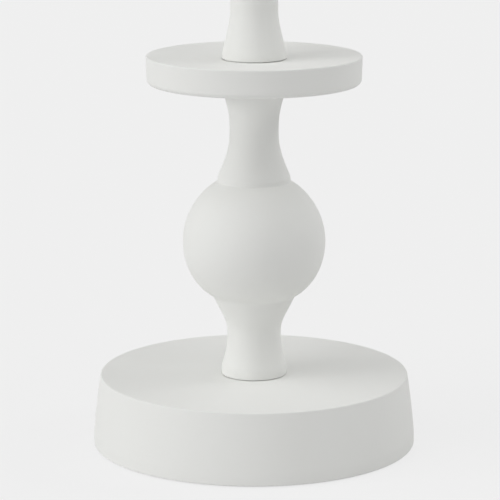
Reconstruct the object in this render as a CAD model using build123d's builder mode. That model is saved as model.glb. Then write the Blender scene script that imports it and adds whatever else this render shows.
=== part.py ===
from build123d import *
import os

# A painted candlestick of turned wood: a dished base, a ball between two waisted stems, a dished
# plate, a third stem and a candle cup with a steel liner. Millimetres, +Z up, origin on the table
# under the middle of the base. Every wooden piece is turned about the Z axis.

# Felt disc let into the underside of the base
felt_radius = 46.0
felt_thickness = 1.6
felt_proud = 0.4
felt_edge_gap = 0.4

# Base
base_height = 24.0
base_radius = 55.0
base_rim_radius = 52.5
base_belly_height = 3.6
base_side_bulge = 0.2
base_foot_round = 1.1
base_rim_round = 0.4
base_dish_depth = 0.4

# Plate between the middle and the upper stem
plate_thickness = 9.5
plate_radius = 36.3
plate_underside_radius = 36.0
plate_foot_round = 1.6
plate_rim_round = 0.5
plate_dish_depth = 1.4

# Flat seats turned into the dished tops for the stems to stand on, and the stems' eased foot edges
seat_depth = 0.1
seat_gap = 0.15
foot_round = 0.4

# Lower stem
lower_length = 26.8
lower_foot_radius = 11.05
lower_foot_land = 3.0
lower_waist_radius = 9.1
lower_waist_height = 14.5
lower_head_radius = 13.6
lower_head_flare = 0.45

# Ball
ball_radius = 24.05
ball_shoulder = 0.05

# Middle stem
middle_length = 33.2
middle_foot_radius = 12.3
middle_foot_land = 1.1
middle_foot_round = 0.3
middle_waist_radius = 8.25
middle_waist_height = 16.0
middle_head_radius = 11.3
middle_head_flare = 0.29

# Upper stem
upper_length = 40.5
upper_foot_radius = 10.7
upper_foot_land = 1.5
upper_waist_radius = 8.0
upper_waist_height = 16.7
upper_head_radius = 11.6
upper_head_flare = 0.3

# Candle cup
cup_height = 31.0
cup_foot_radius = 12.2
cup_belly_radius = 18.8
cup_belly_height = 15.0
cup_mouth_radius = 16.8
cup_lip_round = 1.2

# Steel liner for a 22 mm candle
liner_bore_radius = 11.5
liner_depth = 20.0
liner_wall = 0.6
liner_flange_radius = 14.6
liner_mouth_round = 0.9
liner_floor_round = 1.2
liner_fit = 0.1
liner_floor_gap = 0.5
cup_bore_chamfer = 0.8

# Fluted dowels and their holes
dowel_radius = 4.0
dowel_chamfer = 0.8
dowel_flutes = 12
flute_radius = 0.45
dowel_fit = 0.05
dowel_end_gap = 0.5
ball_dowel_length = 25.0
lower_dowel_bite = 10.5
upper_dowel_bite = 12.5
cup_dowel_length = 20.0
cup_dowel_bite = 12.5

# Countersunk screw from the base up into the lower stem
base_screw_radius = 2.5
base_screw_length = 35.0
base_screw_head_radius = 4.8
base_screw_head_sink = 0.3
base_hole_gap = 0.3
base_screw_slot_width = 1.1
base_screw_slot_length = 5.6
base_screw_slot_depth = 1.6

# Double-ended screw that holds the middle stem, the plate and the upper stem together
joining_screw_radius = 3.0
joining_screw_length = 40.0
joining_screw_bite = 16.0
plate_hole_gap = 0.3

# Both screws
screw_fit = 0.05
screw_end_gap = 0.5
screw_point = 4.0
screw_tip_radius = 0.3

# Heights of the seats and tops, from the table up
base_bottom = felt_proud
felt_recess_top = felt_thickness
base_belly = base_bottom + base_belly_height
base_top = base_bottom + base_height
base_dish_bottom = base_top - base_dish_depth
lower_foot = base_dish_bottom - seat_depth
lower_waist = lower_foot + lower_waist_height
lower_head = lower_foot + lower_length
ball_low_flat_radius = lower_head_radius + ball_shoulder
ball_high_flat_radius = middle_foot_radius + ball_shoulder
ball_middle = lower_head + (ball_radius**2 - ball_low_flat_radius**2) ** 0.5
middle_foot = ball_middle + (ball_radius**2 - ball_high_flat_radius**2) ** 0.5
middle_waist = middle_foot + middle_waist_height
middle_head = middle_foot + middle_length
plate_top = middle_head + plate_thickness
plate_dish_bottom = plate_top - plate_dish_depth
upper_foot = plate_dish_bottom - seat_depth
upper_waist = upper_foot + upper_waist_height
upper_head = upper_foot + upper_length
cup_belly = upper_head + cup_belly_height
cup_top = upper_head + cup_height
liner_mouth = cup_top + liner_wall
liner_radius = liner_bore_radius + liner_wall
liner_floor = liner_mouth - liner_depth

# Share of each rise over which a stem's outline keeps its direction: at the foot, below the
# waist, above the waist and at the head
lower_holds = (0.05, 0.63, 0.38, 0.43)
middle_holds = (0.08, 0.48, 0.42, 0.57)
upper_holds = (0.19, 0.38, 0.44, 0.55)


def stem_outline(foot, foot_land, waist, head, flare, holds):
    """Draw a waisted stem's side: an upright land, a curve in to the waist, a curve out to the head."""
    land = (foot[0], foot[1] + foot_land)
    rise = waist[1] - land[1]
    climb = head[1] - waist[1]
    Line(foot, land)
    Bezier(land, (land[0], land[1] + holds[0] * rise), (waist[0], waist[1] - holds[1] * rise), waist)
    head_pull = holds[3] * climb
    head_hold = (head[0] - flare * head_pull, head[1] - head_pull)
    Bezier(waist, (waist[0], waist[1] + holds[2] * climb), head_hold, head)
    Polyline(head, (0, head[1]), (0, foot[1]), foot)


def drill_down(mouth, radius, depth):
    """Drill on the axis, down from a height."""
    with Locations((0, 0, mouth)):
        Hole(radius, depth)


def looking_down(height):
    """A plane across the axis that faces down, to drill up from."""
    return Plane((0, 0, height), z_dir=(0, 0, -1))


def drill_up(mouth, radius, depth):
    """Drill on the axis, up from a height."""
    with Locations(looking_down(mouth)):
        Hole(radius, depth)


os.makedirs("parts", exist_ok=True)

# Felt pad
with BuildPart() as felt_pad:
    with BuildSketch(Plane.XY):
        Circle(felt_radius)
    extrude(amount=felt_thickness)
felt_pad.part.label = "felt_pad"
export_step(felt_pad.part, "parts/felt_pad.step")

# Base: tapered side, dished top with a flat seat for the stem, recess for the felt, countersunk hole
with BuildPart() as base:
    with BuildSketch(Plane.XZ):
        with BuildLine():
            Polyline((0, base_bottom), (base_radius, base_bottom), (base_radius, base_belly))
            SagittaArc((base_radius, base_belly), (base_rim_radius, base_top), -base_side_bulge)
            RadiusArc(
                (base_rim_radius, base_top),
                (0, base_dish_bottom),
                (base_rim_radius**2 + base_dish_depth**2) / (2 * base_dish_depth),
            )
            Line((0, base_dish_bottom), (0, base_bottom))
        make_face()
        fillet(vertices().group_by(Axis.Y)[0].sort_by(Axis.X)[-1], base_foot_round)
        fillet(vertices().sort_by(Axis.Y)[-1], base_rim_round)
    revolve(axis=Axis.Z)
    drill_down(base_top, lower_foot_radius + seat_gap, base_top - lower_foot)
    drill_up(base_bottom, felt_radius + felt_edge_gap, felt_recess_top - base_bottom)
    with Locations(looking_down(felt_recess_top)):
        CounterSinkHole(
            base_screw_radius + base_hole_gap,
            base_screw_head_radius + base_screw_head_sink,
            counter_sink_angle=90,
        )
base.part.label = "base"
export_step(base.part, "parts/base.step")

# Base screw: 90 degree head, straight shank, pointed end, cross slot under the head
base_screw_head_bottom = felt_recess_top + base_screw_head_sink
base_screw_end = base_screw_head_bottom + base_screw_length
with BuildPart() as base_screw:
    with BuildSketch(Plane.XZ):
        with BuildLine():
            Polyline(
                (0, base_screw_head_bottom),
                (base_screw_head_radius, base_screw_head_bottom),
                (base_screw_radius, base_screw_head_bottom + base_screw_head_radius - base_screw_radius),
                (base_screw_radius, base_screw_end - screw_point),
                (screw_tip_radius, base_screw_end),
                (0, base_screw_end),
                close=True,
            )
        make_face()
    revolve(axis=Axis.Z)
    with BuildSketch(Plane.XY.offset(base_screw_head_bottom)):
        Rectangle(base_screw_slot_length, base_screw_slot_width)
        Rectangle(base_screw_slot_width, base_screw_slot_length)
    extrude(amount=base_screw_slot_depth, mode=Mode.SUBTRACT)
base_screw.part.label = "base_screw"
export_step(base_screw.part, "parts/base_screw.step")

# Lower stem
with BuildPart() as lower_stem:
    with BuildSketch(Plane.XZ):
        with BuildLine():
            stem_outline(
                (lower_foot_radius, lower_foot),
                lower_foot_land,
                (lower_waist_radius, lower_waist),
                (lower_head_radius, lower_head),
                lower_head_flare,
                lower_holds,
            )
        make_face()
        fillet(vertices().group_by(Axis.Y)[0].sort_by(Axis.X)[-1], foot_round)
    revolve(axis=Axis.Z)
    drill_up(lower_foot, base_screw_radius + screw_fit, base_screw_end - lower_foot + screw_end_gap)
    drill_down(lower_head, dowel_radius + dowel_fit, lower_dowel_bite + dowel_end_gap)
lower_stem.part.label = "lower_stem"
export_step(lower_stem.part, "parts/lower_stem.step")

# Ball, flat where the stems meet it
with BuildPart() as ball:
    with BuildSketch(Plane.XZ):
        with BuildLine():
            ThreePointArc(
                (ball_low_flat_radius, lower_head),
                (ball_radius, ball_middle),
                (ball_high_flat_radius, middle_foot),
            )
            Polyline(
                (ball_high_flat_radius, middle_foot),
                (0, middle_foot),
                (0, lower_head),
                (ball_low_flat_radius, lower_head),
            )
        make_face()
    revolve(axis=Axis.Z)
    drill_up(lower_head, dowel_radius + dowel_fit, ball_dowel_length - lower_dowel_bite + dowel_end_gap)
    drill_down(middle_foot, dowel_radius + dowel_fit, ball_dowel_length - upper_dowel_bite + dowel_end_gap)
ball.part.label = "ball"
export_step(ball.part, "parts/ball.step")

# Middle stem
joining_screw_bottom = middle_head - joining_screw_bite
joining_screw_top = joining_screw_bottom + joining_screw_length
with BuildPart() as middle_stem:
    with BuildSketch(Plane.XZ):
        with BuildLine():
            stem_outline(
                (middle_foot_radius, middle_foot),
                middle_foot_land,
                (middle_waist_radius, middle_waist),
                (middle_head_radius, middle_head),
                middle_head_flare,
                middle_holds,
            )
        make_face()
        fillet(vertices().group_by(Axis.Y)[0].sort_by(Axis.X)[-1], middle_foot_round)
    revolve(axis=Axis.Z)
    drill_up(middle_foot, dowel_radius + dowel_fit, upper_dowel_bite + dowel_end_gap)
    drill_down(middle_head, joining_screw_radius + screw_fit, joining_screw_bite + screw_end_gap)
middle_stem.part.label = "middle_stem"
export_step(middle_stem.part, "parts/middle_stem.step")

# Plate: dished top with a flat seat for the upper stem, clearance hole for the screw
with BuildPart() as plate:
    with BuildSketch(Plane.XZ):
        with BuildLine():
            Polyline((0, middle_head), (plate_underside_radius, middle_head), (plate_radius, plate_top))
            RadiusArc(
                (plate_radius, plate_top),
                (0, plate_dish_bottom),
                (plate_radius**2 + plate_dish_depth**2) / (2 * plate_dish_depth),
            )
            Line((0, plate_dish_bottom), (0, middle_head))
        make_face()
        fillet(vertices().group_by(Axis.Y)[0].sort_by(Axis.X)[-1], plate_foot_round)
        fillet(vertices().sort_by(Axis.Y)[-1], plate_rim_round)
    revolve(axis=Axis.Z)
    drill_down(plate_top, upper_foot_radius + seat_gap, plate_top - upper_foot)
    drill_down(plate_top, joining_screw_radius + plate_hole_gap, plate_thickness)
plate.part.label = "plate"
export_step(plate.part, "parts/plate.step")

# Joining screw, pointed at both ends
with BuildPart() as joining_screw:
    with BuildSketch(Plane.XZ):
        with BuildLine():
            Polyline(
                (0, joining_screw_bottom),
                (screw_tip_radius, joining_screw_bottom),
                (joining_screw_radius, joining_screw_bottom + screw_point),
                (joining_screw_radius, joining_screw_top - screw_point),
                (screw_tip_radius, joining_screw_top),
                (0, joining_screw_top),
                close=True,
            )
        make_face()
    revolve(axis=Axis.Z)
joining_screw.part.label = "joining_screw"
export_step(joining_screw.part, "parts/joining_screw.step")

# Upper stem
with BuildPart() as upper_stem:
    with BuildSketch(Plane.XZ):
        with BuildLine():
            stem_outline(
                (upper_foot_radius, upper_foot),
                upper_foot_land,
                (upper_waist_radius, upper_waist),
                (upper_head_radius, upper_head),
                upper_head_flare,
                upper_holds,
            )
        make_face()
        fillet(vertices().group_by(Axis.Y)[0].sort_by(Axis.X)[-1], foot_round)
    revolve(axis=Axis.Z)
    drill_up(upper_foot, joining_screw_radius + screw_fit, joining_screw_top - upper_foot + screw_end_gap)
    drill_down(upper_head, dowel_radius + dowel_fit, cup_dowel_bite + dowel_end_gap)
upper_stem.part.label = "upper_stem"
export_step(upper_stem.part, "parts/upper_stem.step")

# Dowels, each from a height up: a fluted rod with chamfered ends
dowels = {
    "lower_dowel": (lower_head - lower_dowel_bite, ball_dowel_length),
    "upper_dowel": (middle_foot + upper_dowel_bite - ball_dowel_length, ball_dowel_length),
    "cup_dowel": (upper_head - cup_dowel_bite, cup_dowel_length),
}
for dowel_name, (dowel_bottom, dowel_length) in dowels.items():
    with BuildPart() as dowel:
        with BuildSketch(Plane.XY.offset(dowel_bottom)):
            Circle(dowel_radius)
        extrude(amount=dowel_length)
        chamfer(edges().filter_by(GeomType.CIRCLE), dowel_chamfer)
        with BuildSketch(Plane.XY.offset(dowel_bottom)):
            with PolarLocations(dowel_radius, dowel_flutes):
                Circle(flute_radius)
        extrude(amount=dowel_length, mode=Mode.SUBTRACT)
    dowel.part.label = dowel_name
    export_step(dowel.part, f"parts/{dowel_name}.step")

# Candle cup: a full bowl on a narrow foot, a rounded lip and a chamfered bore for the liner
with BuildPart() as candle_cup:
    with BuildSketch(Plane.XZ):
        with BuildLine():
            TangentArc((cup_belly_radius, cup_belly), (cup_foot_radius, upper_head), tangent=(0, -1))
            TangentArc((cup_belly_radius, cup_belly), (cup_mouth_radius, cup_top), tangent=(0, 1))
            Line((cup_mouth_radius, cup_top), (0, cup_top))
            Polyline((0, cup_top), (0, upper_head), (cup_foot_radius, upper_head))
        make_face()
        fillet(vertices().group_by(Axis.Y)[-1].sort_by(Axis.X)[-1], cup_lip_round)
    revolve(axis=Axis.Z)
    drill_up(upper_head, dowel_radius + dowel_fit, cup_dowel_length - cup_dowel_bite + dowel_end_gap)
    drill_down(cup_top, liner_radius + liner_fit, cup_top - liner_floor + liner_wall + liner_floor_gap)
    bore_mouth = edges().filter_by(GeomType.CIRCLE).group_by(Axis.Z)[-1].sort_by(SortBy.RADIUS)[0]
    chamfer(bore_mouth, cup_bore_chamfer)
candle_cup.part.label = "candle_cup"
export_step(candle_cup.part, "parts/candle_cup.step")

# Candle liner: a drawn steel cup with a flange that rests on the wood
with BuildPart() as candle_liner:
    with BuildSketch(Plane.XZ):
        with BuildLine():
            Polyline(
                (0, liner_floor - liner_wall),
                (liner_radius, liner_floor - liner_wall),
                (liner_radius, cup_top),
                (liner_flange_radius, cup_top),
                (liner_flange_radius, liner_mouth),
                (liner_bore_radius, liner_mouth),
                (liner_bore_radius, liner_floor),
                (0, liner_floor),
                close=True,
            )
        make_face()
        fillet(vertices().group_by(Axis.Y)[0].sort_by(Axis.X)[-1], liner_floor_round + liner_wall)
        fillet(vertices().group_by(Axis.Y)[1].sort_by(Axis.X)[-1], liner_floor_round)
        fillet(vertices().group_by(Axis.Y)[-1].sort_by(Axis.X)[0], liner_mouth_round)
    revolve(axis=Axis.Z)
candle_liner.part.label = "candle_liner"
export_step(candle_liner.part, "parts/candle_liner.step")
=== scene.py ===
import math
import bpy
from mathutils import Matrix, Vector


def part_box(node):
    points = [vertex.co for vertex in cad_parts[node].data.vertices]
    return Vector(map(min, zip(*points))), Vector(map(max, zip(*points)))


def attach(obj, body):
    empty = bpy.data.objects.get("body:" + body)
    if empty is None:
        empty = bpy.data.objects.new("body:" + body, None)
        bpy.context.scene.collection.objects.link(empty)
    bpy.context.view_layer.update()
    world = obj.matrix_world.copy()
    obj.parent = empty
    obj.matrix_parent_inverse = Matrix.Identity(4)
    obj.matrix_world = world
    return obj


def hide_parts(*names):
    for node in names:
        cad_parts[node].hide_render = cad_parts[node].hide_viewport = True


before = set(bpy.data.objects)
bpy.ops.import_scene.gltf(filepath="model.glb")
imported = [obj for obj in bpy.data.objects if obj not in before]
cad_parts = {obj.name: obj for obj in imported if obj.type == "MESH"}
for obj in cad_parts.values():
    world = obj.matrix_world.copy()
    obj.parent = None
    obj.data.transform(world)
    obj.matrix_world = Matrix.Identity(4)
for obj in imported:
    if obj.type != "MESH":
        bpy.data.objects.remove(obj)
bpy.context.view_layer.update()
mm = 0.001
even = (1, 1, 1)  # the stretch of a pattern that is alike in all directions
noiseMiddle = 0.5  # what a noise averages

# Camera

cameraView = {
    "place": (0.0, -0.8513, 0.2521),
    "downTilt": 12.2605,
    "sideTurn": 0.0938,
    "lens": 184.65,
    "sensor": 36.0,
    "nearClip": 0.01,
}


def placeCamera(values):
    turned = (math.radians(90 - values["downTilt"]), 0, math.radians(values["sideTurn"]))
    bpy.ops.object.camera_add(location=values["place"], rotation=turned)
    camera = bpy.context.object
    camera.data.lens = values["lens"]
    camera.data.sensor_width = values["sensor"]
    camera.data.clip_start = values["nearClip"]
    bpy.context.scene.camera = camera


placeCamera(cameraView)
print("camera placed")

# Shader maths


class Wire:
    # one output of a shader tree, so that sums and products of outputs are written as plain maths
    def __init__(self, tree, socket=None):
        self.tree = tree
        self.socket = socket

    def node(self, kind, settings, sockets, output=0):
        made = self.tree.nodes.new(kind)
        for name, value in settings.items():
            if name == "stops":
                setStops(made.color_ramp.elements, value)
            else:
                setattr(made, name, value)
        for name, value in sockets.items():
            if isinstance(value, Wire):
                self.tree.links.new(value.socket, made.inputs[name])
            else:
                made.inputs[name].default_value = value
        return Wire(self.tree, made.outputs[output] if made.outputs else None)

    def maths(self, operation, first, second=0.0):
        return self.node("ShaderNodeMath", {"operation": operation}, {0: first, 1: second})

    def __add__(self, other):
        return self.maths("ADD", self, other)

    def __radd__(self, other):
        return self.maths("ADD", other, self)

    def __sub__(self, other):
        return self.maths("SUBTRACT", self, other)

    def __rsub__(self, other):
        return self.maths("SUBTRACT", other, self)

    def __mul__(self, other):
        return self.maths("MULTIPLY", self, other)

    def __rmul__(self, other):
        return self.maths("MULTIPLY", other, self)


def setStops(elements, stops):
    # colour ramp stops as (position, grey level)
    for element, (position, level) in zip(elements, stops):
        element.position = position
        element.color = (level, level, level, 1)


def newMaterial(name):
    material = bpy.data.materials.new(name)
    material.use_nodes = True
    material.node_tree.nodes.clear()
    return material, Wire(material.node_tree)


def mixColours(wires, amount, first, second):
    # sockets 6 and 7 of a Mix node and its output 2 are the ones for colours
    return wires.node(
        "ShaderNodeMix",
        {"data_type": "RGBA"},
        {"Factor": amount, 6: (*first, 1), 7: (*second, 1)},
        output=2,
    )


def greyRamp(wires, amount, darkUpTo, paleFrom):
    return wires.node("ShaderNodeValToRGB", {"stops": ((darkUpTo, 0.0), (paleFrom, 1.0))}, {0: amount})


def objectPlace(wires):
    return wires.node("ShaderNodeTexCoord", {}, {}, output="Object")


def noiseOver(wires, place, size, stretch, detail, offset=(0, 0, 0)):
    # noise whose grains measure about size times stretch, in millimetres
    scale = tuple(1 / (size * part * mm) for part in stretch)
    mapped = wires.node(
        "ShaderNodeMapping",
        {"vector_type": "POINT"},
        {"Vector": place, "Scale": scale, "Location": offset},
    )
    return wires.node("ShaderNodeTexNoise", {}, {"Vector": mapped, "Scale": 1.0, "Detail": detail})


def relief(wires, height):
    return wires.node("ShaderNodeBump", {}, {"Height": height, "Distance": 1.0, "Strength": 1.0})


def finishMaterial(material, wires, sockets):
    surface = wires.node("ShaderNodeBsdfPrincipled", {}, sockets)
    wires.node("ShaderNodeOutputMaterial", {}, {"Surface": surface})
    return material


def turnedPlace(wires, place):
    # distance from the turning axis and height, which are what a lathe mark follows
    split = wires.node("ShaderNodeSeparateXYZ", {}, {0: place})
    across, along, height = (Wire(wires.tree, output) for output in split.socket.node.outputs)
    radius = wires.maths("SQRT", across * across + along * along)
    return wires.node("ShaderNodeCombineXYZ", {}, {"X": radius, "Y": height})


# Stage: floor, background and lights

stage = {
    "floorSize": 14.0,
    "floorColour": (0.80, 0.80, 0.80),
    "floorRoughness": 0.85,
    "floorRoughnessSpread": 0.1,
    "floorCloudSize": 40,
    "floorCloudDetail": 3,
    "seenColour": (0.863, 0.863, 0.863),
    "seenGlow": (0.917, 0.917, 0.917),
    "glowShare": 0.8,
    "ambient": 0.368,
}
lamps = {
    "softLeft": {"azimuth": 270, "height": 30, "share": 0.111, "softness": 45},
    "softTopLeft": {"azimuth": 300, "height": 58, "share": 0.161, "softness": 45},
    "softTopRight": {"azimuth": 60, "height": 58, "share": 0.121, "softness": 45},
    "lowLeft": {"azimuth": 285, "height": 12, "share": 0.116, "softness": 15},
    "lowFrontLeft": {"azimuth": 315, "height": 12, "share": 0.092, "softness": 15},
    "right": {"azimuth": 105, "height": 30, "share": 0.106, "softness": 15},
    "backRight": {"azimuth": 135, "height": 30, "share": 0.060, "softness": 15},
}


def seenShare(wires):
    # 1 on what the eye, a reflection or a glass sees, and 0 on what lights the object
    path = wires.node("ShaderNodeLightPath", {}, {})
    outputs = path.socket.node.outputs
    seen = Wire(wires.tree, outputs["Is Camera Ray"])
    for name in ("Is Glossy Ray", "Is Transmission Ray"):
        seen = wires.maths("MAXIMUM", seen, Wire(wires.tree, outputs[name]))
    return seen


def makeWorld(values):
    world = bpy.data.worlds.new("paleRoom")
    bpy.context.scene.world = world
    world.use_nodes = True
    world.node_tree.nodes.clear()
    wires = Wire(world.node_tree)
    grey = values["ambient"]
    seenColour = (*values["seenColour"], 1)
    lighting = wires.node("ShaderNodeBackground", {}, {"Color": (grey, grey, grey, 1), "Strength": 1.0})
    seen = wires.node("ShaderNodeBackground", {}, {"Color": seenColour, "Strength": 1.0})
    mixed = wires.node("ShaderNodeMixShader", {}, {0: seenShare(wires), 1: lighting, 2: seen})
    wires.node("ShaderNodeOutputWorld", {}, {"Surface": mixed})


def makeFloor(values):
    bpy.ops.object.select_all(action="DESELECT")
    bpy.ops.mesh.primitive_plane_add(size=values["floorSize"], location=(0, 0, 0))
    floor = bpy.context.object
    floor.name = "floor"
    material, wires = newMaterial("paleFloor")
    place = objectPlace(wires)
    cloud = noiseOver(wires, place, values["floorCloudSize"], even, values["floorCloudDetail"])
    roughness = values["floorRoughness"] + values["floorRoughnessSpread"] * cloud
    board = wires.node(
        "ShaderNodeBsdfPrincipled",
        {},
        {"Base Color": (*values["floorColour"], 1), "Roughness": roughness},
    )
    glow = wires.node("ShaderNodeEmission", {}, {"Color": (*values["seenGlow"], 1), "Strength": 1.0})
    share = seenShare(wires) * values["glowShare"]
    mixed = wires.node("ShaderNodeMixShader", {}, {0: share, 1: board, 2: glow})
    wires.node("ShaderNodeOutputMaterial", {}, {"Surface": mixed})
    floor.data.materials.append(material)


def makeLamps(values):
    # azimuth 0 shines from the camera's side and 270 from the left, in degrees;
    # share 1 lights a facing surface fully
    for name, lamp in values.items():
        around = math.radians(lamp["azimuth"])
        up = math.radians(lamp["height"])
        outward = math.cos(up)
        toLamp = Vector((math.sin(around) * outward, -math.cos(around) * outward, math.sin(up)))
        bpy.ops.object.light_add(type="SUN", rotation=toLamp.to_track_quat("Z", "Y").to_euler())
        light = bpy.context.object
        light.name = name
        light.data.energy = math.pi * lamp["share"]
        light.data.angle = math.radians(lamp["softness"])


makeWorld(stage)
makeFloor(stage)
makeLamps(lamps)
bpy.context.scene.view_settings.view_transform = "Standard"
print("floor, background and lights ready")

# Finishes

paint = {
    "colour": (0.880, 0.885, 0.862),
    "warmColour": (0.862, 0.860, 0.830),
    "roughness": 0.75,
    "roughnessSpread": 0.10,
    "peelSize": 0.9,
    "peelDetail": 2,
    "peelDepth": 0.014,
    "grainSize": 0.7,
    "grainStretch": 22,
    "grainDetail": 3,
    "grainDepth": 0.022,
    "ringSize": 0.55,
    "ringDetail": 3,
    "ringDepth": 0.012,
    "cloudSize": 18,
    "cloudDetail": 2,
    "cloudInWarmth": 0.6,
    "grainInWarmth": 0.4,
    "warmthRamp": (0.35, 0.75),
    "warmthShare": 0.35,
}


def paintFinish(name, values, grainAlong, offset):
    # satin paint on turned wood: spray texture, the grain showing faintly through, and lathe rings
    material, wires = newMaterial(name)
    place = objectPlace(wires)
    stretch = list(even)
    stretch["xyz".index(grainAlong)] = values["grainStretch"]
    grain = noiseOver(wires, place, values["grainSize"], stretch, values["grainDetail"], offset)
    peel = noiseOver(wires, place, values["peelSize"], even, values["peelDetail"], offset)
    turned = turnedPlace(wires, place)
    rings = noiseOver(wires, turned, values["ringSize"], even, values["ringDetail"], offset)
    cloud = noiseOver(wires, place, values["cloudSize"], even, values["cloudDetail"], offset)
    depth = (
        values["peelDepth"] * mm * peel
        + values["grainDepth"] * mm * grain
        + values["ringDepth"] * mm * rings
    )
    normal = relief(wires, depth)
    warmth = greyRamp(
        wires, values["cloudInWarmth"] * cloud + values["grainInWarmth"] * grain, *values["warmthRamp"]
    )
    colour = mixColours(wires, warmth * values["warmthShare"], values["colour"], values["warmColour"])
    unevenness = 0.5 * cloud + 0.5 * rings - noiseMiddle
    roughness = values["roughness"] + values["roughnessSpread"] * unevenness
    sockets = {"Base Color": colour, "Roughness": roughness, "Normal": normal}
    return finishMaterial(material, wires, sockets)


felt = {
    "colour": (0.145, 0.132, 0.115),
    "flecks": (0.23, 0.21, 0.185),
    "fleckStrength": 1.6,
    "fibreSize": 0.35,
    "fibreStretch": 6,
    "fibreDetail": 3,
    "fibreDepth": 0.09,
    "crossOffset": (3, 1, 0),
    "fluffSize": 1.4,
    "fluffDetail": 4,
    "fluffDepth": 0.15,
    "roughness": 0.92,
    "sheen": 0.35,
    "sheenRoughness": 0.5,
}


def feltFinish(name, values):
    # matted wool: crossing fibres and pale flecks
    material, wires = newMaterial(name)
    place = objectPlace(wires)
    size, detail, stretch = values["fibreSize"], values["fibreDetail"], values["fibreStretch"]
    along = noiseOver(wires, place, size, (stretch, 1, 1), detail)
    across = noiseOver(wires, place, size, (1, stretch, 1), detail, values["crossOffset"])
    fluff = noiseOver(wires, place, values["fluffSize"], even, values["fluffDetail"])
    fibres = wires.maths("MAXIMUM", along, across)
    flecks = fibres * fluff * values["fleckStrength"]
    height = values["fibreDepth"] * mm * fibres + values["fluffDepth"] * mm * fluff
    sockets = {
        "Base Color": mixColours(wires, flecks, values["colour"], values["flecks"]),
        "Roughness": values["roughness"],
        "Normal": relief(wires, height),
        "Sheen Weight": values["sheen"],
        "Sheen Roughness": values["sheenRoughness"],
    }
    return finishMaterial(material, wires, sockets)


beech = {
    "pale": (0.56, 0.36, 0.20),
    "dark": (0.42, 0.25, 0.13),
    "darkRamp": (0.42, 0.68),
    "grainSize": 0.8,
    "grainStretch": 18,
    "grainDetail": 4,
    "grainDepth": 0.03,
    "fleckSize": 0.35,
    "fleckStretch": 5,
    "fleckDetail": 2,
    "fleckDepth": 0.02,
    "roughness": 0.6,
    "roughnessSpread": 0.1,
}


def beechFinish(name, values):
    # bare beech: long grain up the dowel with short dark flecks
    material, wires = newMaterial(name)
    place = objectPlace(wires)
    upGrain = (1, 1, values["grainStretch"])
    upFleck = (1, 1, values["fleckStretch"])
    grain = noiseOver(wires, place, values["grainSize"], upGrain, values["grainDetail"])
    flecks = noiseOver(wires, place, values["fleckSize"], upFleck, values["fleckDetail"])
    darkness = greyRamp(wires, 0.5 * grain + 0.5 * flecks, *values["darkRamp"])
    height = values["grainDepth"] * mm * grain + values["fleckDepth"] * mm * flecks
    sockets = {
        "Base Color": mixColours(wires, darkness, values["pale"], values["dark"]),
        "Roughness": values["roughness"] + values["roughnessSpread"] * flecks,
        "Normal": relief(wires, height),
    }
    return finishMaterial(material, wires, sockets)


steelMarks = {
    "ringSize": 0.12,
    "ringDetail": 4,
    "ringSpread": 0.16,
    "cloudSize": 3.0,
    "cloudDetail": 3,
    "cloudSpread": 0.12,
    "dullness": 0.86,
    "dullShare": 0.4,
}


def steelFinish(name, values, marks):
    # drawn or plated steel: fine marks round the axis, cloudy shine
    material, wires = newMaterial(name)
    place = objectPlace(wires)
    turned = turnedPlace(wires, place)
    rings = noiseOver(wires, turned, marks["ringSize"], even, marks["ringDetail"])
    cloud = noiseOver(wires, place, marks["cloudSize"], even, marks["cloudDetail"])
    dullColour = tuple(part * marks["dullness"] for part in values["colour"])
    gloss = (
        values["roughness"]
        + marks["ringSpread"] * (rings - noiseMiddle)
        + marks["cloudSpread"] * (cloud - noiseMiddle)
    )
    sockets = {
        "Base Color": mixColours(wires, cloud * marks["dullShare"], values["colour"], dullColour),
        "Metallic": 1.0,
        "Roughness": gloss,
        "Normal": relief(wires, values["ringDepth"] * mm * rings),
    }
    return finishMaterial(material, wires, sockets)


# Turning: half an outline is drawn as a Bezier curve of knots and spun round the axis. Its measures
# are millimetres from the axis and up, and its headings are degrees, with 0 outwards and 90 up.

turning = {
    "steps": 192,
    "knotEvery": 45,
    "joinWithin": 0.001,
    "ringWithin": 0.02,
    "roundSegments": 8,
    "smoothUnder": 28,
}


def towards(heading, length):
    return length * math.cos(math.radians(heading)), length * math.sin(math.radians(heading))


def crease(radius, height, headingIn, before, headingOut, after):
    # a knot that comes in at one heading and leaves at another; a length of 0 is a straight side
    arriving = towards(headingIn, -before) if before else None
    leaving = towards(headingOut, after) if after else None
    return radius, height, arriving, leaving


def corner(radius, height):
    return radius, height, None, None


def bend(radius, height, heading, before, after):
    return crease(radius, height, heading, before, heading, after)


def roundHold(radius, turn):
    # the length of the handles that makes a stretch between two knots round; turn is in radians
    return 4 / 3 * math.tan(turn / 4) * radius


def roundStretch(middleRadius, middleHeight, size, fromAngle, toAngle):
    # knots along a round stretch about a middle
    parts = max(1, math.ceil(abs(toAngle - fromAngle) / turning["knotEvery"]))
    step = (toAngle - fromAngle) / parts
    quarter = math.copysign(90, step)
    hold = roundHold(size, math.radians(abs(step)))
    knots = []
    for number in range(parts + 1):
        angle = fromAngle + step * number
        away, up = towards(angle, size)
        before = hold if number else 0
        after = hold if number < parts else 0
        knots.append(bend(middleRadius + away, middleHeight + up, angle + quarter, before, after))
    return knots


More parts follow.
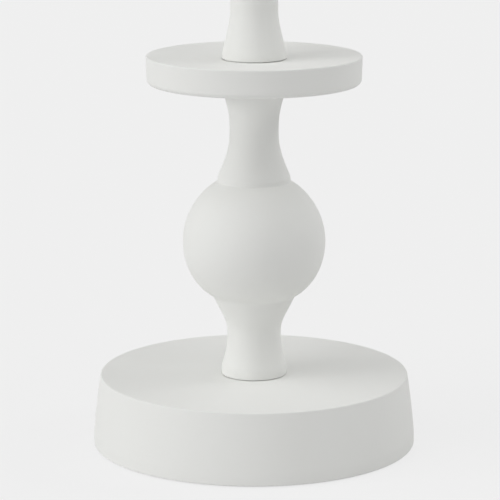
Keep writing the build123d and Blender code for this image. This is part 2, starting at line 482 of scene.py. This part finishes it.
def drawOutline(name, knots, ring, fineness):
    bpy.ops.object.select_all(action="DESELECT")
    bpy.ops.curve.primitive_bezier_curve_add(location=(0, 0, 0))
    outline = bpy.context.object
    outline.name = name
    outline.data.resolution_u = fineness
    spline = outline.data.splines[0]
    spline.bezier_points.add(len(knots) - 2)  # it starts with two
    spline.use_cyclic_u = ring
    for point, (radius, height, arriving, leaving) in zip(spline.bezier_points, knots):
        place = Vector((radius, 0, height)) * mm
        point.handle_left_type = "FREE" if arriving else "VECTOR"
        point.handle_right_type = "FREE" if leaving else "VECTOR"
        point.co = place
        if arriving:
            point.handle_left = place + Vector((arriving[0], 0, arriving[1])) * mm
        if leaving:
            point.handle_right = place + Vector((leaving[0], 0, leaving[1])) * mm
    bpy.ops.object.convert(target="MESH")
    return bpy.context.object


def turnPiece(name, knots, fineness, ring=False, steps=turning["steps"]):
    piece = drawOutline(name, knots, ring, fineness)
    bpy.ops.object.mode_set(mode="EDIT")
    bpy.ops.mesh.select_all(action="SELECT")
    bpy.ops.mesh.spin(steps=steps, angle=math.radians(360), center=(0, 0, 0), axis=(0, 0, 1))
    bpy.ops.mesh.select_all(action="SELECT")
    bpy.ops.mesh.remove_doubles(threshold=turning["joinWithin"] * mm)
    bpy.ops.mesh.normals_make_consistent(inside=False)
    bpy.ops.mesh.select_all(action="DESELECT")
    bpy.ops.object.mode_set(mode="OBJECT")
    return piece


def roundRing(piece, radius, height, width, segments=turning["roundSegments"]):
    # bevels the ring of edges at this radius and height
    near = turning["ringWithin"] * mm
    ringVertices = {
        vertex.index
        for vertex in piece.data.vertices
        if abs(vertex.co.xy.length - radius * mm) < near and abs(vertex.co.z - height * mm) < near
    }
    bpy.context.view_layer.objects.active = piece
    bpy.ops.object.mode_set(mode="EDIT")
    bpy.ops.mesh.select_mode(type="EDGE")
    bpy.ops.mesh.select_all(action="DESELECT")
    bpy.ops.object.mode_set(mode="OBJECT")
    for edge in piece.data.edges:
        edge.select = ringVertices.issuperset(edge.vertices)
    bpy.ops.object.mode_set(mode="EDIT")
    bpy.ops.mesh.bevel(offset=width * mm, segments=segments, affect="EDGES", clamp_overlap=False)
    bpy.ops.mesh.select_all(action="DESELECT")
    bpy.ops.object.mode_set(mode="OBJECT")


def finishPiece(piece, nodes, material):
    bpy.ops.object.select_all(action="DESELECT")
    piece.select_set(True)
    bpy.context.view_layer.objects.active = piece
    bpy.ops.object.shade_smooth_by_angle(angle=math.radians(turning["smoothUnder"]))
    bpy.ops.object.modifier_add(type="WEIGHTED_NORMAL")
    piece.modifiers[-1].keep_sharp = True
    bpy.ops.object.modifier_apply(modifier=piece.modifiers[-1].name)
    piece.select_set(False)
    piece.data.materials.clear()
    piece.data.materials.append(material)
    if nodes:
        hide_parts(*nodes)
    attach(piece, "root")
    print(piece.name, "ready,", len(piece.data.polygons), "faces")


def levels(node):
    # lowest and highest level of a CAD node, in millimetres
    low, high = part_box(node)
    return low.z / mm, high.z / mm


def widest(node):
    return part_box(node)[1].x / mm


drilling = {"fit": 0.05, "endGap": 0.5, "screwShank": 2.5}


def holeFromBelow(radius, held, mouth):
    # a blind hole for the dowel or screw that it holds, from its end down to its mouth
    end = levels(held)[1] + drilling["endGap"]
    wall = radius + drilling["fit"]
    return [corner(0, end), corner(wall, end), corner(wall, mouth)]


def holeFromAbove(radius, held, mouth):
    end = levels(held)[0] - drilling["endGap"]
    wall = radius + drilling["fit"]
    return [corner(wall, mouth), corner(wall, end), corner(0, end)]


def dish(rim, top, depth, seat, seatFloor):
    # a shallow parabola from the rim in to the seat's edge, then down to the seat's floor; handles of
    # a third of its width make a Bezier stretch a parabola
    slopeAtRim = 2 * depth / rim
    slopeAtSeat = slopeAtRim * seat / rim
    seatEdge = top - depth * (1 - (seat / rim) ** 2)
    hold = (rim - seat) / 3
    headingAtRim = 180 + math.degrees(math.atan(slopeAtRim))
    headingAtSeat = 180 + math.degrees(math.atan(slopeAtSeat))
    inside = [bend(seat, seatEdge, headingAtSeat, hold, 0), corner(seat, seatFloor)]
    return headingAtRim, hold, inside


# Base

baseShape = {
    "rimRadius": 52.5,
    "bellyHeight": 3.6,
    "sideBulge": 0.2,
    "footRound": 0.5,
    "rimRound": 0.4,
    "dishDepth": 0.4,
    "seatRadius": 11.2,
    "feltRecess": 46.4,
    "screwHole": 2.8,
    "screwHead": 5.1,
    "steps": 256,
    "fineness": 18,
    "grain": "x",
    "grainPlace": (0.0, 0.031, 0.048),
}


def makeBase(values):
    bottom, top = levels("base")
    feltTop = levels("felt_pad")[1]
    seatFloor = levels("lower_stem")[0]
    foot = widest("base")
    belly = bottom + values["bellyHeight"]
    rim = values["rimRadius"]
    side = math.hypot(top - belly, foot - rim)
    climb = math.degrees(math.atan2(top - belly, rim - foot))
    swell = math.degrees(math.atan(4 * values["sideBulge"] / side))
    seat = values["seatRadius"]
    headingAtRim, hold, inside = dish(rim, top, values["dishDepth"], seat, seatFloor)
    countersink = feltTop + values["screwHead"] - values["screwHole"]
    knots = [
        corner(values["screwHole"], seatFloor),
        corner(values["screwHole"], countersink),
        corner(values["screwHead"], feltTop),
        corner(values["feltRecess"], feltTop),
        corner(values["feltRecess"], bottom),
        corner(foot, bottom),
        bend(foot, belly, climb - swell, 0, side / 3),
        crease(rim, top, climb + swell, side / 3, headingAtRim, hold),
    ]
    knots += inside
    steps, fineness = values["steps"], values["fineness"]
    piece = turnPiece("turnedBase", knots, fineness, ring=True, steps=steps)
    roundRing(piece, foot, bottom, values["footRound"])
    roundRing(piece, rim, top, values["rimRound"])
    material = paintFinish("paintOnBase", paint, values["grain"], values["grainPlace"])
    finishPiece(piece, ["base"], material)


makeBase(baseShape)

# Stems: holds are shares of each rise, in the order foot, under the waist, over the waist, head

stemFineness = 20
lowerStemShape = {
    "footRadius": 11.05,
    "footDrop": 0,
    "footLand": 3.0,
    "footRound": 0.15,
    "lift": 0.25,
    "liftDepth": 0.9,
    "waistRadius": 9.1,
    "waistHeight": 14.5,
    "headRadius": 14.1,
    "headRise": 1.05,
    "headFlare": 0.44,
    "holds": (0.05, 0.63, 0.38, 0.5),
    "grainPlace": (0.013, 0.0, 0.0),
}
middleStemShape = {
    "footRadius": 12.3,
    "footDrop": 0.3,
    "footLand": 1.4,
    "footRound": 0.3,
    "lift": 0,
    "waistRadius": 8.25,
    "waistHeight": 16.3,
    "headRadius": 11.3,
    "headRise": 0,
    "headFlare": 0.29,
    "holds": (0.08, 0.48, 0.42, 0.57),
    "grainPlace": (0.037, 0.011, 0.0),
}
upperStemShape = {
    "footRadius": 10.7,
    "footDrop": 0,
    "footLand": 1.5,
    "footRound": 0.15,
    "lift": 0.45,
    "liftDepth": 0.9,
    "waistRadius": 8.0,
    "waistHeight": 16.7,
    "headRadius": 11.6,
    "headRise": 0,
    "headFlare": 0.3,
    "holds": (0.19, 0.38, 0.44, 0.55),
    "grainPlace": (0.0, 0.052, 0.0),
}


def flareHeading(values):
    return math.degrees(math.atan2(1, values["headFlare"]))


def makeStem(name, node, values, holeBelow, holeAbove):
    # an upright land, in to the waist and out to the head
    foot, head = levels(node)
    foot -= values["footDrop"]
    head += values["headRise"]
    land = foot + values["footLand"]
    waist = foot + values["waistHeight"]
    rise = waist - land
    climb = head - waist
    footHold, lowHold, highHold, headHold = values["holds"]
    headHold *= climb * math.hypot(1, values["headFlare"])
    headHeading = flareHeading(values)
    edge = foot + values["lift"]
    underside = []
    if values["lift"]:
        # a narrow step under the edge, which leaves a dark line above the seat
        spigot = values["footRadius"] - values["liftDepth"]
        underside = [corner(spigot, foot), corner(spigot, edge)]
    outline = [
        corner(values["footRadius"], edge),
        bend(values["footRadius"], land, 90, 0, footHold * rise),
        bend(values["waistRadius"], waist, 90, lowHold * rise, highHold * climb),
        bend(values["headRadius"], head, headHeading, headHold, 0),
    ]
    below = holeFromBelow(*holeBelow, foot)
    above = holeFromAbove(*holeAbove, head)
    piece = turnPiece(name, below + underside + outline + above, stemFineness)
    roundRing(piece, values["footRadius"], edge, values["footRound"])
    material = paintFinish("paintOn" + name[0].upper() + name[1:], paint, "z", values["grainPlace"])
    finishPiece(piece, [node], material)


dowel = widest("lower_dowel")
shank = drilling["screwShank"]
joiner = widest("joining_screw")
baseScrew = (shank, "base_screw")
joiningScrew = (joiner, "joining_screw")
makeStem("lowerStem", "lower_stem", lowerStemShape, baseScrew, (dowel, "lower_dowel"))
makeStem("middleStem", "middle_stem", middleStemShape, (dowel, "upper_dowel"), joiningScrew)
makeStem("upperStem", "upper_stem", upperStemShape, joiningScrew, (dowel, "cup_dowel"))

# Ball

ballShape = {
    "swell": 0.12,
    "beltHeight": 19.7,
    "lowHeading": 25,
    "lowHold": 4.1,
    "belowBelt": 10.8,
    "aboveBelt": 10.4,
    "highHold": 5.3,
    "highHeading": 154,
    "shoulder": 0.05,
    "fineness": 48,
    "grainPlace": (0.061, 0.0, 0.017),
}


def ballOutline(values):
    # a hand-turned ball: fuller than a true round below its belt, and drawn in quickly lower down
    bottom, top = levels("ball")
    belt = (widest("ball") + values["swell"], bottom + values["beltHeight"])
    low = (lowerStemShape["headRadius"] + values["shoulder"], bottom + lowerStemShape["headRise"])
    high = (middleStemShape["footRadius"] + values["shoulder"], top - middleStemShape["footDrop"])
    return [
        crease(*low, 0, 0, values["lowHeading"], values["lowHold"]),
        bend(*belt, 90, values["belowBelt"], values["aboveBelt"]),
        crease(*high, values["highHeading"], values["highHold"], 0, 0),
    ]


def makeBall(values):
    outline = ballOutline(values)
    below = holeFromBelow(dowel, "lower_dowel", outline[0][1])
    above = holeFromAbove(dowel, "upper_dowel", outline[-1][1])
    piece = turnPiece("turnedBall", below + outline + above, values["fineness"])
    material = paintFinish("paintOnBall", paint, "z", values["grainPlace"])
    finishPiece(piece, ["ball"], material)


makeBall(ballShape)

# Paint that lies in the corners where the stems meet the ball

jointPaint = {
    "lowerReach": 1.2,
    "upperReach": 0.4,
    "sink": 0.01,
    "bite": 0.5,
    "fineness": 10,
    "grainPlace": (0.0, 0.041, 0.0),
}


def alongCurve(first, second, share):
    # place and heading at a share of the curve between two knots
    start, end = Vector(first[:2]), Vector(second[:2])
    leaving, arriving = start + Vector(first[3]), end + Vector(second[2])
    rest = 1 - share
    place = (
        rest**3 * start
        + 3 * rest**2 * share * leaving
        + 3 * rest * share**2 * arriving
        + share**3 * end
    )
    slope = (
        rest**2 * (leaving - start)
        + 2 * rest * share * (arriving - leaving)
        + share**2 * (end - arriving)
    )
    return place, math.degrees(math.atan2(slope.y, slope.x))


def makeJointPaint(name, start, startHeading, end, endHeading, inside, material):
    # a hollow fillet between two points on the wood, and a hidden edge inside the wood
    turn = math.radians(abs(endHeading - startHeading))
    radius = math.dist(start, end) / (2 * math.sin(turn / 2))
    hold = roundHold(radius, turn)
    knots = [
        crease(*start, 0, 0, startHeading, hold),
        crease(*end, endHeading, hold, 0, 0),
        corner(*inside),
    ]
    piece = turnPiece(name, knots, jointPaint["fineness"], ring=True)
    finishPiece(piece, [], material)


def makeJoints(values):
    # near a knot, the curve runs three times as far as the same share of the knot's handle
    low, belt, high = ballOutline(ballShape)
    sunk = Vector((-values["sink"], 0))
    bite = Vector((values["bite"], 0))
    material = paintFinish("paintInJoints", paint, "z", values["grainPlace"])

    stemHeading = flareHeading(lowerStemShape)
    stemCorner = Vector((lowerStemShape["headRadius"], low[1]))
    onStem = stemCorner + Vector(towards(stemHeading, -values["lowerReach"])) + sunk
    share = values["lowerReach"] / (3 * ballShape["lowHold"])
    onBall, ballHeading = alongCurve(low, belt, share)
    ends = (onStem, stemHeading, onBall + sunk, ballHeading)
    makeJointPaint("lowerJointPaint", *ends, stemCorner - bite, material)

    stemCorner = Vector((middleStemShape["footRadius"], high[1]))
    onStem = stemCorner + Vector((0, values["upperReach"])) + sunk
    share = 1 - values["upperReach"] / (3 * ballShape["highHold"])
    onBall, ballHeading = alongCurve(belt, high, share)
    ends = (onBall + sunk, ballHeading, onStem, 90)
    makeJointPaint("upperJointPaint", *ends, stemCorner - bite, material)


makeJoints(jointPaint)

# Plate

plateShape = {
    "undersideRadius": 36.0,
    "footRound": 1.6,
    "rimRound": 0.5,
    "dishDepth": 1.4,
    "seatRadius": 10.85,
    "screwHole": 3.3,
    "steps": 224,
    "fineness": 16,
    "grain": "x",
    "grainPlace": (0.02, 0.0, 0.09),
}


def makePlate(values):
    bottom, top = levels("plate")
    seatFloor = levels("upper_stem")[0]
    rim = widest("plate")
    underside = values["undersideRadius"]
    seat = values["seatRadius"]
    headingAtRim, hold, inside = dish(rim, top, values["dishDepth"], seat, seatFloor)
    knots = [
        corner(values["screwHole"], seatFloor),
        corner(values["screwHole"], bottom),
        corner(underside, bottom),
        crease(rim, top, 90, 0, headingAtRim, hold),
    ]
    knots += inside
    steps, fineness = values["steps"], values["fineness"]
    piece = turnPiece("turnedPlate", knots, fineness, ring=True, steps=steps)
    roundRing(piece, underside, bottom, values["footRound"])
    roundRing(piece, rim, top, values["rimRound"])
    material = paintFinish("paintOnPlate", paint, values["grain"], values["grainPlace"])
    finishPiece(piece, ["plate"], material)


makePlate(plateShape)

# Candle cup and its liner

cupShape = {
    "footRadius": 12.2,
    "bellyHeight": 15.0,
    "mouthRadius": 16.8,
    "lipRound": 1.2,
    "boreFit": 0.1,
    "boreChamfer": 0.8,
    "floorGap": 0.5,
    "fineness": 20,
    "grainPlace": (0.0, 0.02, 0.11),
}
linerShape = {
    "wall": 0.6,
    "depth": 20.0,
    "boreRadius": 11.5,
    "mouthRound": 0.9,
    "floorRound": 1.2,
    "flangeRound": 0.25,
    "fineness": 4,
}
drawnSteel = {"colour": (0.62, 0.62, 0.60), "roughness": 0.30, "ringDepth": 0.004}


def swellTo(belly, bellyLevel, otherRadius, otherLevel):
    # a round stretch that stands upright at the belly and passes through another point
    away = otherLevel - bellyLevel
    middle = (belly**2 - otherRadius**2 - away**2) / (2 * (belly - otherRadius))
    angle = math.degrees(math.atan2(away, otherRadius - middle))
    return middle, belly - middle, angle


def makeCup(values):
    foot, top = levels("candle_cup")
    belly = widest("candle_cup")
    bellyLevel = foot + values["bellyHeight"]
    lowMiddle, lowSize, lowAngle = swellTo(belly, bellyLevel, values["footRadius"], foot)
    highMiddle, highSize, highAngle = swellTo(belly, bellyLevel, values["mouthRadius"], top)
    rising = roundStretch(lowMiddle, bellyLevel, lowSize, lowAngle, 0)
    closing = roundStretch(highMiddle, bellyLevel, highSize, 0, highAngle)
    bellyKnot = (belly, bellyLevel, rising[-1][2], closing[0][3])
    bore = linerShape["boreRadius"] + linerShape["wall"] + values["boreFit"]
    boreFloor = levels("candle_liner")[0] - values["floorGap"]
    chamfer = values["boreChamfer"]
    below = holeFromBelow(dowel, "cup_dowel", foot)
    above = [
        corner(bore + chamfer, top),
        corner(bore, top - chamfer),
        corner(bore, boreFloor),
        corner(0, boreFloor),
    ]
    knots = below + rising[:-1] + [bellyKnot] + closing[1:] + above
    piece = turnPiece("candleCup", knots, values["fineness"])
    roundRing(piece, values["mouthRadius"], top, values["lipRound"])
    material = paintFinish("paintOnCup", paint, "z", values["grainPlace"])
    finishPiece(piece, ["candle_cup"], material)


def makeLiner(values):
    bottom, mouth = levels("candle_liner")
    flange = widest("candle_liner")
    bore = values["boreRadius"]
    outside = bore + values["wall"]
    seat = levels("candle_cup")[1]
    floor = mouth - values["depth"]
    knots = [
        corner(0, bottom),
        corner(outside, bottom),
        corner(outside, seat),
        corner(flange, seat),
        corner(flange, mouth),
        corner(bore, mouth),
        corner(bore, floor),
        corner(0, floor),
    ]
    piece = turnPiece("candleLiner", knots, values["fineness"])
    roundRing(piece, outside, bottom, values["floorRound"] + values["wall"])
    roundRing(piece, bore, floor, values["floorRound"])
    roundRing(piece, bore, mouth, values["mouthRound"])
    roundRing(piece, flange, mouth, values["flangeRound"])
    material = steelFinish("drawnSteel", drawnSteel, steelMarks)
    finishPiece(piece, ["candle_liner"], material)


makeCup(cupShape)
makeLiner(linerShape)

# Felt pad

feltShape = {
    "edgeRound": 0.35,
    "edgeSegments": 3,
    "rings": 40,
    "steps": 160,
    "matting": 0.12,
    "mattingSize": 1.1,
    "mattingDetail": 2,
}


def makeFelt(values):
    # a die-cut disc with softened edges and a matted, uneven surface
    bottom, top = levels("felt_pad")
    radius = widest("felt_pad")
    knots = [corner(0, bottom)]
    for number in range(1, values["rings"]):
        knots.append(corner(radius * number / values["rings"], bottom))
    knots += [corner(radius, bottom), corner(radius, top), corner(0, top)]
    piece = turnPiece("feltDisc", knots, 1, steps=values["steps"])
    for level in (bottom, top):
        roundRing(piece, radius, level, values["edgeRound"], values["edgeSegments"])
    texture = bpy.data.textures.new("matting", type="CLOUDS")
    texture.noise_scale = values["mattingSize"] * mm
    texture.noise_depth = values["mattingDetail"]
    bpy.ops.object.modifier_add(type="DISPLACE")
    matting = piece.modifiers[-1]
    matting.texture = texture
    matting.texture_coords = "LOCAL"
    matting.strength = values["matting"] * mm
    matting.mid_level = 1.0  # only inwards
    bpy.ops.object.modifier_apply(modifier=matting.name)
    finishPiece(piece, ["felt_pad"], feltFinish("mattedFelt", felt))


makeFelt(feltShape)

# Dowels and screws keep their CAD shape and get their finish

zincPlate = {"colour": (0.58, 0.58, 0.56), "roughness": 0.36, "ringDepth": 0.006}

beechWood = beechFinish("bareBeech", beech)
zincSteel = steelFinish("zincSteel", zincPlate, steelMarks)
for name, material in (
    ("lower_dowel", beechWood),
    ("upper_dowel", beechWood),
    ("cup_dowel", beechWood),
    ("base_screw", zincSteel),
    ("joining_screw", zincSteel),
):
    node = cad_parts[name]
    node.data.materials.clear()
    node.data.materials.append(material)
print("dowels and screws finished")

# Threads, wound round the screws where they bite into the stems

threadShape = {
    "pitch": 2.2,
    "depth": 0.55,
    "sink": 0.15,
    "footHalf": 0.55,
    "crestHalf": 0.08,
    "steps": 24,
    "point": 4.0,
    "pointShare": 0.12,
    "runOut": 1.1,
    "clear": 0.9,
}


def drawIn(piece, members, size):
    # draws one ring of a thread in towards the axis, and leaves nothing selected for the next
    for member in members:
        piece.data.vertices[member].select = True
    bpy.ops.object.mode_set(mode="EDIT")
    bpy.ops.transform.resize(value=(size, size, 1), center_override=(0, 0, 0))
    bpy.ops.mesh.select_all(action="DESELECT")
    bpy.ops.object.mode_set(mode="OBJECT")


def makeThread(name, core, low, high, pointUp, values):
    # one ridge and pitch for every screw: one end shrinks to the screw's point, the other runs out
    pitch = values["pitch"]
    turns = int((high - low - values["clear"]) / pitch)
    start = high - values["clear"] - turns * pitch if pointUp else low + values["clear"]
    foot = core - values["sink"]
    crest = core + values["depth"]
    ridge = [
        corner(foot, start - values["footHalf"]),
        corner(crest, start - values["crestHalf"]),
        corner(crest, start + values["crestHalf"]),
        corner(foot, start + values["footHalf"]),
    ]
    piece = drawOutline(name, ridge, ring=True, fineness=1)
    bpy.ops.object.modifier_add(type="SCREW")
    winding = piece.modifiers[-1]
    winding.screw_offset = pitch * mm
    winding.iterations = turns
    winding.steps = values["steps"]
    winding.render_steps = values["steps"]
    bpy.ops.object.modifier_apply(modifier=winding.name)
    bpy.ops.object.mode_set(mode="EDIT")
    bpy.ops.mesh.select_mode(type="VERT")
    bpy.ops.mesh.select_all(action="DESELECT")
    bpy.ops.object.mode_set(mode="OBJECT")
    for ring in range(turns * values["steps"] + 1):
        height = start + pitch * ring / values["steps"]
        toPoint = high - height if pointUp else height - low
        toStart = height - start if pointUp else start + turns * pitch - height
        share = values["pointShare"]
        size = min(1, share + (1 - share) * toPoint / values["point"])
        sunk = (foot + (crest - foot) * min(1, toStart / values["runOut"])) / crest
        if size * sunk < 1:
            drawIn(piece, range(ring * len(ridge), (ring + 1) * len(ridge)), size * sunk)
    bpy.ops.object.mode_set(mode="EDIT")
    bpy.ops.mesh.select_all(action="SELECT")
    bpy.ops.mesh.fill_holes(sides=len(ridge))
    bpy.ops.mesh.normals_make_consistent(inside=False)
    bpy.ops.object.mode_set(mode="OBJECT")
    finishPiece(piece, [], zincSteel)


joinerLow, joinerHigh = levels("joining_screw")
screwTop = levels("base_screw")[1]
makeThread("baseScrewThread", shank, levels("lower_stem")[0], screwTop, True, threadShape)
makeThread("lowerJoinerThread", joiner, joinerLow, levels("middle_stem")[1], False, threadShape)
makeThread("upperJoinerThread", joiner, levels("upper_stem")[0], joinerHigh, True, threadShape)
